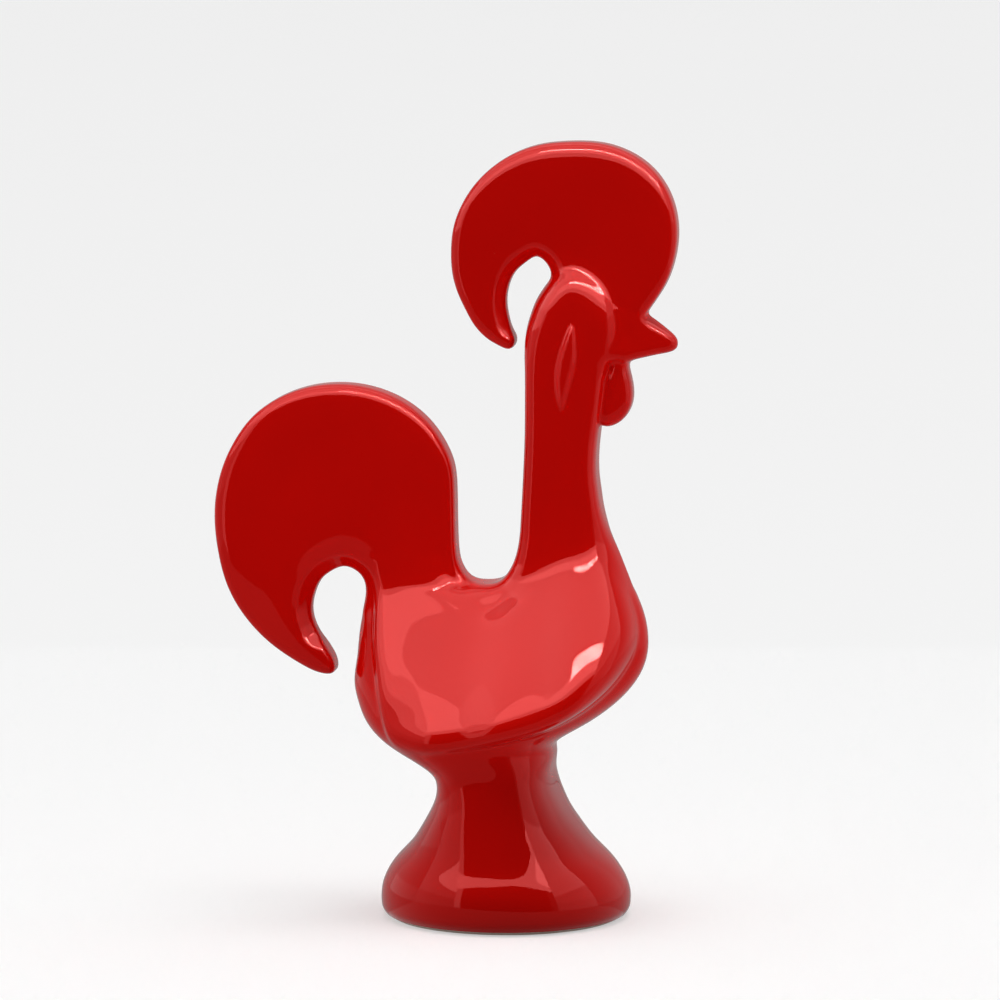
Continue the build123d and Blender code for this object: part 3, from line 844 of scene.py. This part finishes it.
def build_skin(h=0.6):
    bird = Bird()
    xs, ys, zs, V = grid_values(bird, (-78, 0, -1.5), (46, 33.5, 203), h)
    P, Q = surface_nets(xs, ys, zs, V)
    P = project(bird, P, 3)
    # the skin stops on the plane where the bare ring begins
    lab = label_of(bird, P)
    E = quads_edges(Q)
    P, on = snap_seams(bird, P, E, lab, h)
    below = P[:, 2] < 1.0
    i, j = E.T
    m = below[i] != below[j]
    i, j = i[m], j[m]
    t = (1.0 - P[i, 2]) / (P[j, 2] - P[i, 2])
    who = np.where(t < 0.5, i, j)
    X = P[i] + (P[j] - P[i]) * t[:, None]
    P = P.copy()
    for _ in range(1):
        P[who] = X
    P[who, 2] = 1.0
    on[who] = True
    T = split_quads(P, Q, on)
    zc = P[T][:, :, 2].mean(1)
    keep = ~((P[T][:, :, 2] <= 1.0 + 1e-9).all(1) | (zc < 1.0))
    T = T[keep]
    # exact radius on the cut
    cut = np.abs(P[:, 2] - 1.0) < 1e-9
    r = np.hypot(P[cut, 0] + 0.4, P[cut, 1])
    P[cut, 0] = -0.4 + (P[cut, 0] + 0.4) * 31.2 / r
    P[cut, 1] *= 31.2 / r
    fl = face_labels(bird, P, T, lab, on)
    fl = islands(T, fl, len(P))
    nrm = gradient(bird, P, 0.08)
    nrm /= np.maximum(np.linalg.norm(nrm, axis=1, keepdims=True), 1e-9)
    return bird, P, T, fl, nrm


def pieces_of(bird, P, T, fl, nrm):
    out = {}
    for name in NAMES:
        t = T[fl == N[name]]
        used = np.unique(t)
        back = -np.ones(len(P), int)
        back[used] = np.arange(len(used))
        p, n = P[used], nrm[used]
        k = len(t)
        p2, t2 = close_piece(name, p, back[t], n)
        out[name] = (p2, t2, n, k)      # points, faces, normals of the skin's points, number of skin faces
    return out


# ---------------------------------------------------------------- from here on in metres, in the row's frame
MM = 0.001


def to_row(p):
    p = np.array(p, float) * MM
    p[..., 0] += SHIFT * MM
    return p


def make_mesh(name, verts, faces, loop_normals=None, smooth=True):
    me = bpy.data.meshes.new(name)
    verts = np.asarray(verts, np.float32)
    faces = np.asarray(faces, np.int32)
    k = faces.shape[1]
    me.vertices.add(len(verts))
    me.vertices.foreach_set("co", verts.ravel())
    me.loops.add(faces.size)
    me.loops.foreach_set("vertex_index", faces.ravel())
    me.polygons.add(len(faces))
    me.polygons.foreach_set("loop_start", np.arange(0, faces.size, k, dtype=np.int32))
    me.polygons.foreach_set("use_smooth", np.full(len(faces), smooth, bool))
    me.update(calc_edges=True)
    me.validate(clean_customdata=False)
    if loop_normals is not None:
        me.normals_split_custom_set([tuple(v) for v in loop_normals])
    ob = bpy.data.objects.new(name, me)
    bpy.context.scene.collection.objects.link(ob)
    return ob


def face_normals(p, t):
    n = np.cross(p[t[:, 1]] - p[t[:, 0]], p[t[:, 2]] - p[t[:, 0]])
    return n / np.maximum(np.linalg.norm(n, axis=1, keepdims=True), 1e-12)


# ---------------------------------------------------------------- materials
def new_material(name):
    m = bpy.data.materials.new(name)
    m.use_nodes = True
    nt = m.node_tree
    nt.nodes.clear()
    out = nt.nodes.new("ShaderNodeOutputMaterial")
    bsdf = nt.nodes.new("ShaderNodeBsdfPrincipled")
    nt.links.new(bsdf.outputs[0], out.inputs[0])
    return m, nt, bsdf


def node(nt, kind, inputs=None, **props):
    n = nt.nodes.new(kind)
    for k, v in props.items():
        setattr(n, k, v)
    for k, v in (inputs or {}).items():
        if hasattr(v, "is_output") or hasattr(v, "links"):
            nt.links.new(v, n.inputs[k])
        else:
            n.inputs[k].default_value = v
    return n


def math_node(nt, op, a, b=None, c=None, clamp=False):
    ins = {0: a}
    if b is not None:
        ins[1] = b
    if c is not None:
        ins[2] = c
    n = node(nt, "ShaderNodeMath", ins, operation=op)
    n.use_clamp = clamp
    return n.outputs[0]


def glaze_material():
    """Deep red lead-free glaze: a clear gloss over saturated colour, with painted shade: a little darker in creases and
    hollows, where ambient occlusion finds them.
    """
    m, nt, b = new_material("red_glaze")
    geo = node(nt, "ShaderNodeNewGeometry")
    pos = geo.outputs["Position"]
    # painted shade: ambient occlusion over 6 mm darkens the glaze colour in creases and hollows
    ao = node(nt, "ShaderNodeAmbientOcclusion", {"Distance": 0.006}, samples=8, only_local=False)
    painted_shade = node(nt, "ShaderNodeMapRange", {0: ao.outputs["AO"], 1: 0.25, 2: 0.85, 3: 1.0, 4: 0.0})
    soft = node(nt, "ShaderNodeTexNoise", {"Vector": pos, "Scale": 38.0, "Detail": 2.0, "Roughness": 0.45})
    fine = node(nt, "ShaderNodeTexNoise", {"Vector": pos, "Scale": 420.0, "Detail": 3.0, "Roughness": 0.55})
    # colour: open glaze, painted shade (darker glaze where ambient occlusion finds creases and hollows), faint
    # cloudiness
    c1 = node(nt, "ShaderNodeMix", {0: painted_shade.outputs[0], 6: GLAZE_OPEN, 7: GLAZE_PAINTED_SHADE}, data_type="RGBA")
    cloud = node(nt, "ShaderNodeMapRange", {0: soft.outputs[0], 1: 0.3, 2: 0.7, 3: 0.965, 4: 1.03})
    hsv = node(nt, "ShaderNodeHueSaturation", {"Color": c1.outputs[2], "Value": cloud.outputs[0]})
    nt.links.new(hsv.outputs[0], b.inputs["Base Color"])
    # gloss: very smooth, with barely rougher clouds
    r = node(nt, "ShaderNodeMapRange", {0: fine.outputs[0], 1: 0.35, 2: 0.75, 3: 0.014, 4: 0.03})
    nt.links.new(r.outputs[0], b.inputs["Roughness"])
    b.inputs["IOR"].default_value = 1.5
    b.inputs["Specular IOR Level"].default_value = 0.5
    b.inputs["Specular Tint"].default_value = GLAZE_TINT
    # surface: long faint waves of a fired glaze, fine orange peel, a few pinholes
    wave = node(nt, "ShaderNodeTexNoise", {"Vector": pos, "Scale": 95.0, "Detail": 1.0, "Roughness": 0.4})
    peel = node(nt, "ShaderNodeTexNoise", {"Vector": pos, "Scale": 900.0, "Detail": 1.0, "Roughness": 0.4})
    cell = node(nt, "ShaderNodeTexVoronoi", {"Vector": pos, "Scale": 150.0, "Randomness": 1.0}, feature="F1")
    hole_near = node(nt, "ShaderNodeMapRange", {0: cell.outputs["Distance"], 1: 0.0, 2: 0.035, 3: 1.0, 4: 0.0}, interpolation_type="SMOOTHSTEP")
    pick = math_node(nt, "GREATER_THAN", node(nt, "ShaderNodeSeparateColor", {0: cell.outputs["Color"]}).outputs[0], 0.975)
    hole = math_node(nt, "MULTIPLY", hole_near.outputs[0], pick)
    h = math_node(nt, "MULTIPLY", wave.outputs[0], 0.000010)
    h = math_node(nt, "MULTIPLY_ADD", peel.outputs[0], 0.0000015, h)
    h = math_node(nt, "MULTIPLY_ADD", hole, -0.00006, h)
    bump = node(nt, "ShaderNodeBump", {"Height": h, "Strength": 1.0, "Distance": 1.0})
    nt.links.new(bump.outputs[0], b.inputs["Normal"])
    return m


def clay_material():
    """Bare fired earthenware where the glaze was wiped off: pale, matt, finely grained."""
    m, nt, b = new_material("bare_clay")
    pos = node(nt, "ShaderNodeNewGeometry").outputs["Position"]
    grain = node(nt, "ShaderNodeTexNoise", {"Vector": pos, "Scale": 1500.0, "Detail": 4.0, "Roughness": 0.65})
    blot = node(nt, "ShaderNodeTexNoise", {"Vector": pos, "Scale": 110.0, "Detail": 3.0, "Roughness": 0.6})
    ramp = node(nt, "ShaderNodeMix", {0: blot.outputs[0], 6: (0.86, 0.70, 0.60, 1), 7: (0.62, 0.42, 0.34, 1)}, data_type="RGBA")
    tone = node(nt, "ShaderNodeMapRange", {0: grain.outputs[0], 1: 0.3, 2: 0.7, 3: 0.86, 4: 1.08})
    hsv = node(nt, "ShaderNodeHueSaturation", {"Color": ramp.outputs[2], "Value": tone.outputs[0]})
    nt.links.new(hsv.outputs[0], b.inputs["Base Color"])
    r = node(nt, "ShaderNodeMapRange", {0: grain.outputs[0], 3: 0.72, 4: 0.92})
    nt.links.new(r.outputs[0], b.inputs["Roughness"])
    h = math_node(nt, "MULTIPLY", grain.outputs[0], 0.00006)
    h = math_node(nt, "MULTIPLY_ADD", blot.outputs[0], 0.00012, h)
    bump = node(nt, "ShaderNodeBump", {"Height": h, "Strength": 1.0, "Distance": 1.0})
    nt.links.new(bump.outputs[0], b.inputs["Normal"])
    return m


# ---------------------------------------------------------------- turned pieces under the foot
def lathe(profile, seg, wobble=None):
    """Closed ring from a closed profile of (radius, z); wobble(i, angle) shifts a profile point."""
    k = len(profile)
    P = []
    for s in range(seg):
        t = 2 * math.pi * s / seg
        for i, (r, z) in enumerate(profile):
            dr, dz = wobble(i, t) if wobble else (0, 0)
            P.append(((r + dr) * math.cos(t) + BASE_X, (r + dr) * math.sin(t), z + dz))
    F = []
    for s in range(seg):
        s2 = (s + 1) % seg
        for i in range(k):
            j = (i + 1) % k
            F.append((s * k + i, s2 * k + i, s2 * k + j, s * k + j))
    return np.array(P), np.array(F)


BASE_X = -0.4


def ring_piece():
    """Bare clay ring that the ornament stands on: softened edges, slightly uneven where it was sponged."""
    prof = [(26.06, 1.0), (26.06, 0.55), (26.2, 0.22), (26.5, 0.06), (26.9, 0.0), (27.6, 0.0), (28.3, 0.0), (28.9, 0.0), (29.35, 0.05),
            (29.75, 0.18), (30.15, 0.4), (30.6, 0.7), (31.05, 0.985), (31.0, 1.0), (29.5, 1.0), (27.8, 1.0)]

    def wobble(i, t):
        a = 0.05 * math.sin(5 * t + 0.7) + 0.035 * math.sin(11 * t + 2.1) + 0.02 * math.sin(23 * t)
        return (a * (1 if 8 <= i <= 11 else 0.5 if i < 4 and i > 0 else 0), 0)

    P, F = lathe(prof, 360, wobble)
    return P, F[:, ::-1]


def floor_piece():
    """Closed floor inside the ring, a little dished, with the round firing vent."""
    r0, r1 = 2.0, 26.0
    low, high = [], []
    for i in range(15):
        f = i / 14
        r = r0 + (r1 - r0) * f
        low.append((r, 2.6 + 0.35 * (1 - (2 * f - 1) ** 2) * 0.6 + (0.3 * (1 - min(1, (r - r0) / 0.8)) ** 2)))
        high.append((r, 6.2))
    prof = low + [(26.0, 4.0)] + high[::-1] + [(2.0, 4.2)]

    def wobble(i, t):
        return (0, (0.05 * math.sin(3 * t + 1.0 + i * 0.4) + 0.03 * math.sin(7 * t + i)) if 1 < i < 13 else 0)

    P, F = lathe(prof, 240, wobble)
    return P, F[:, ::-1]


# ---------------------------------------------------------------- scene
def main():
    glaze, clay = glaze_material(), clay_material()
    for name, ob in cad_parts.items():
        mat = clay if name in ("foot_ring", "base_floor") else glaze
        ob.data.materials.clear()
        ob.data.materials.append(mat)

    bird, P, T, fl, nrm = build_skin(GRID)
    for name, (p, t, n, k) in pieces_of(bird, P, T, fl, nrm).items():
        fnm = face_normals(p, t)
        ln = np.repeat(fnm, 3, 0)
        ln[: 3 * k] = n[t[:k].ravel()]
        ob = make_mesh(name + "_glazed", to_row(p), t, ln)
        ob.data.materials.append(glaze)
        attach(ob, "root")
        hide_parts(name)
    for name, (p, f) in {"foot_ring": ring_piece(), "base_floor": floor_piece()}.items():
        ob = make_mesh(name + "_clay", to_row(p), f)
        ob.data.materials.append(clay)
        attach(ob, "root")
        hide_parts(name)


def rig(x, y, z):
    """A place in the light tent, whose open front faces the camera, in the row's frame."""
    a = math.radians(RIG_TURN)
    return (x * math.cos(a) - y * math.sin(a) + SHIFT * MM, x * math.sin(a) + y * math.cos(a), z)


def only(ob, camera=False, diffuse=False, glossy=False):
    ob.visible_camera, ob.visible_diffuse, ob.visible_glossy = camera, diffuse, glossy
    ob.visible_transmission = ob.visible_volume_scatter = ob.visible_shadow = False


def card(name, corners, strength, pattern=None):
    """One side of the light tent, which the glaze mirrors and the camera looks past."""
    ob = make_mesh(name, np.array([rig(*c) for c in corners]), np.array([[0, 1, 2, 3]]), smooth=False)
    m = bpy.data.materials.new(name)
    m.use_nodes = True
    nt = m.node_tree
    nt.nodes.clear()
    out = nt.nodes.new("ShaderNodeOutputMaterial")
    em = nt.nodes.new("ShaderNodeEmission")
    em.inputs[0].default_value = (1, 1, 1, 1)
    em.inputs[1].default_value = strength
    if pattern:
        nt.links.new(pattern(nt), em.inputs[1])
    nt.links.new(em.outputs[0], out.inputs[0])
    m.cycles.emission_sampling = "NONE"
    ob.data.materials.append(m)
    only(ob, glossy=True)
    return ob


def ramp(nt, fac, stops, scale):
    n = nt.nodes.new("ShaderNodeValToRGB")
    n.color_ramp.interpolation = "LINEAR"
    el = n.color_ramp.elements
    while len(el) < len(stops):
        el.new(0.5)
    for e, (p, v) in zip(el, stops):
        e.position = p
    for e, (p, v) in zip(el, stops):
        e.color = (v / scale, v / scale, v / scale, 1)
    nt.links.new(fac, n.inputs[0])
    return math_node(nt, "MULTIPLY", n.outputs[0], scale)


def tent_light():
    """The tent's light on matt surfaces: level by height band, and by side within each band."""
    w = bpy.data.worlds.new("tent")
    bpy.context.scene.world = w
    w.use_nodes = True
    nt = w.node_tree
    nt.nodes.clear()
    out = nt.nodes.new("ShaderNodeOutputWorld")
    bg = nt.nodes.new("ShaderNodeBackground")
    nt.links.new(bg.outputs[0], out.inputs[0])
    tc = nt.nodes.new("ShaderNodeTexCoord")
    turn = node(nt, "ShaderNodeVectorRotate", {"Vector": tc.outputs["Generated"], "Angle": math.radians(-RIG_TURN)}, rotation_type="Z_AXIS")
    sep = node(nt, "ShaderNodeSeparateXYZ", {0: turn.outputs[0]})
    el = math_node(nt, "ARCSINE", sep.outputs[2])
    az = math_node(nt, "ARCTAN2", sep.outputs[0], math_node(nt, "MULTIPLY", sep.outputs[1], -1.0))
    round_ = math_node(nt, "MULTIPLY_ADD", az, 1 / (2 * math.pi), 0.5)      # back 0, left 1/4, front 1/2, right 3/4, back 1
    total = None
    for low, high, (front, right, back, left) in TENT:
        side = ramp(nt, round_, [(0.0, back), (0.11, back), (0.14, left), (0.36, left), (0.39, front), (0.61, front), (0.64, right), (0.86, right), (0.89, back), (1.0, back)], 10.0)
        up = node(nt, "ShaderNodeMapRange", {0: el, 1: math.radians(low - 3), 2: math.radians(low + 3), 3: 0.0, 4: 1.0}, interpolation_type="SMOOTHSTEP").outputs[0] if low > -90 else None
        dn = node(nt, "ShaderNodeMapRange", {0: el, 1: math.radians(high - 3), 2: math.radians(high + 3), 3: 1.0, 4: 0.0}, interpolation_type="SMOOTHSTEP").outputs[0] if high < 90 else None
        v = side
        for q in (up, dn):
            if q is not None:
                v = math_node(nt, "MULTIPLY", v, q)
        total = v if total is None else math_node(nt, "ADD", total, v)
    nt.links.new(total, bg.inputs[1])


def studio():
    sc = bpy.context.scene
    # floor: pale and matt, with painted light: it glows, brighter near the foot and dimmer with distance from it
    fl = make_mesh("floor", np.array([(-60, -60, 0), (60, -60, 0), (60, 60, 0), (-60, 60, 0)]), np.array([[0, 1, 2, 3]]), smooth=False)
    m, nt, b = new_material("pale_floor")
    pos = node(nt, "ShaderNodeNewGeometry").outputs["Position"]
    nz = node(nt, "ShaderNodeTexNoise", {"Vector": pos, "Scale": 2.0, "Detail": 2.0})
    mr = node(nt, "ShaderNodeMapRange", {0: nz.outputs[0], 3: FLOOR_TONE - 0.004, 4: FLOOR_TONE + 0.004})
    # painted light: the floor's tone and glow fall off with distance from the foot
    away = node(nt, "ShaderNodeVectorMath", {0: pos}, operation="LENGTH").outputs["Value"]
    fall = math_node(nt, "LOGARITHM", math_node(nt, "MAXIMUM", math_node(nt, "DIVIDE", away, 0.13), 1.0), math.e)
    far = math_node(nt, "MULTIPLY_ADD", fall, -FLOOR_PAINTED_FALLOFF, 1.0)
    tone = math_node(nt, "MULTIPLY", mr.outputs[0], far)
    col = node(nt, "ShaderNodeCombineColor", {0: tone, 1: tone, 2: tone})
    nt.links.new(col.outputs[0], b.inputs["Base Color"])
    b.inputs["Roughness"].default_value = 0.8
    b.inputs["Specular IOR Level"].default_value = 0.1
    b.inputs["Emission Strength"].default_value = FLOOR_PAINTED_GLOW
    glow = node(nt, "ShaderNodeCombineColor", {0: far, 1: far, 2: far})
    nt.links.new(glow.outputs[0], b.inputs["Emission Color"])
    fl.data.materials.append(m)
    only(fl, camera=True)

    # backdrop: a pale wall all round, for views that look over the floor's edge
    seg = 64
    ring = [(50 * math.cos(2 * math.pi * i / seg), 50 * math.sin(2 * math.pi * i / seg)) for i in range(seg)]
    P = [(x, y, -0.1) for x, y in ring] + [(x, y, 45.0) for x, y in ring] + [(0, 0, 60.0)]
    F = [(i, (i + 1) % seg, seg + (i + 1) % seg) for i in range(seg)] + [(i, seg + (i + 1) % seg, seg + i) for i in range(seg)]
    F += [(seg + i, seg + (i + 1) % seg, 2 * seg) for i in range(seg)]
    bd = make_mesh("backdrop", np.array(P), np.array(F))
    m = bpy.data.materials.new("backdrop")
    m.use_nodes = True
    nt = m.node_tree
    nt.nodes.clear()
    out = nt.nodes.new("ShaderNodeOutputMaterial")
    em = nt.nodes.new("ShaderNodeEmission")
    em.inputs[1].default_value = 0.86
    nt.links.new(em.outputs[0], out.inputs[0])
    m.cycles.emission_sampling = "NONE"
    bd.data.materials.append(m)
    only(bd, camera=True)

    tent_light()

    # the dim part of the floor round the foot, as the glaze above it sees it
    P = [(0.115 * math.cos(2 * math.pi * i / seg) + 0.0155, 0.115 * math.sin(2 * math.pi * i / seg), -0.003) for i in range(seg)] + [(0.0155, 0, -0.003)]
    F = [(i, (i + 1) % seg, seg) for i in range(seg)]
    sh = make_mesh("foot_shade", np.array(P), np.array(F), smooth=False)
    m = bpy.data.materials.new("foot_shade")
    m.use_nodes = True
    nt = m.node_tree
    nt.nodes.clear()
    out = nt.nodes.new("ShaderNodeOutputMaterial")
    em = nt.nodes.new("ShaderNodeEmission")
    em.inputs[1].default_value = SHADE
    nt.links.new(em.outputs[0], out.inputs[0])
    m.cycles.emission_sampling = "NONE"
    sh.data.materials.append(m)
    only(sh, diffuse=True)
    sh.visible_shadow = True

    # what the glaze mirrors: a white tent with an open, dark front and a row of small lamps above the opening
    for name, (corners, level) in CARDS.items():
        card(name, corners, level)

    def dots(nt):
        pos = node(nt, "ShaderNodeNewGeometry").outputs["Position"]
        v = node(nt, "ShaderNodeTexVoronoi", {"Vector": pos, "Scale": LED_PITCH, "Randomness": 0.8}, feature="F1")
        s = node(nt, "ShaderNodeMapRange", {0: v.outputs["Distance"], 1: 0.22, 2: 0.42, 3: LED_L, 4: LED_GAP}, interpolation_type="SMOOTHSTEP")
        return s.outputs[0]

    card("lamp_row", LED_ROW, LED_L, dots)

    # camera
    cam = bpy.data.cameras.new("camera")
    cam.lens = 251.55
    cam.sensor_width = 36.0
    cam.clip_end = 200.0
    ob = bpy.data.objects.new("camera", cam)
    sc.collection.objects.link(ob)
    ob.location = (0.24629 + SHIFT * MM, -1.76682, 0.34635)
    ob.rotation_euler = Vector((-0.13795, 0.98157, -0.13226)).to_track_quat("-Z", "Y").to_euler()
    sc.camera = ob
    sc.view_settings.view_transform = "Standard"
    sc.view_settings.look = "None"
    sc.view_settings.exposure = 0.0
    sc.view_settings.gamma = 1.0


main()
studio()
